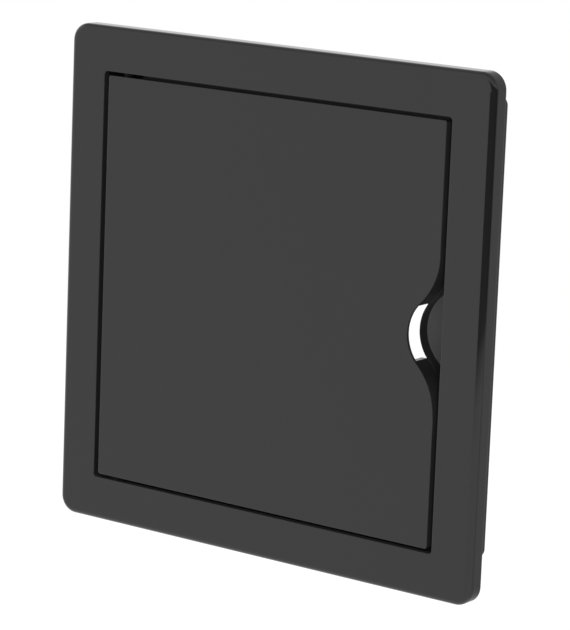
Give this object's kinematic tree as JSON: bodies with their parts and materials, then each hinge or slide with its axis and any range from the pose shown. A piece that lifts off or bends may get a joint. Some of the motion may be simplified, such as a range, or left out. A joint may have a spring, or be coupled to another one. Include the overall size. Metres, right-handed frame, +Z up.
{
  "type": "access panel",
  "caption": "Square hinged access panel: a moulded frame whose collar enters a wall or ceiling cut-out, and a flush door with a finger notch.",
  "frame": {"origin": "middle of the wall or ceiling cut-out, on the wall surface, where the bezel's back edge rests", "axes": "+X to the right and +Z up as the closed panel is seen upright; -Y out of the wall towards the viewer, +Y into the wall along the collar"},
  "size_m": [0.17, 0.0235, 0.17],
  "materials": {
    "frame_plastic": "anthracite moulded plastic, polished, with faint flow marks",
    "door_plastic": "anthracite moulded plastic, polished, with faint flow marks",
    "cup_plastic": "anthracite moulded plastic, matt with a fine grain",
    "pin_black": "drawn steel, blackened",
    "magnet_nickel": "nickel-plated magnet",
    "strike_steel": "zinc-plated steel",
    "screw_zinc": "zinc-plated steel"
  },
  "bodies": {
    "frame_assembly": {"frame": "frame_plastic", "finger_cup": "cup_plastic", "upper_magnet": "magnet_nickel", "lower_magnet": "magnet_nickel"},
    "door_assembly": {"door": "door_plastic", "upper_hinge_pin": "pin_black", "lower_hinge_pin": "pin_black", "upper_strike_plate": "strike_steel", "lower_strike_plate": "strike_steel", "strike_screws": "screw_zinc"}
  },
  "joints": [
    {"name": "door_hinge", "type": "hinge", "parent": "frame_assembly", "child": "door_assembly", "pos_m": [-0.063, -0.0025, 0], "axis": [0, 0, -1], "range_deg": [0, 110]}
  ]
}
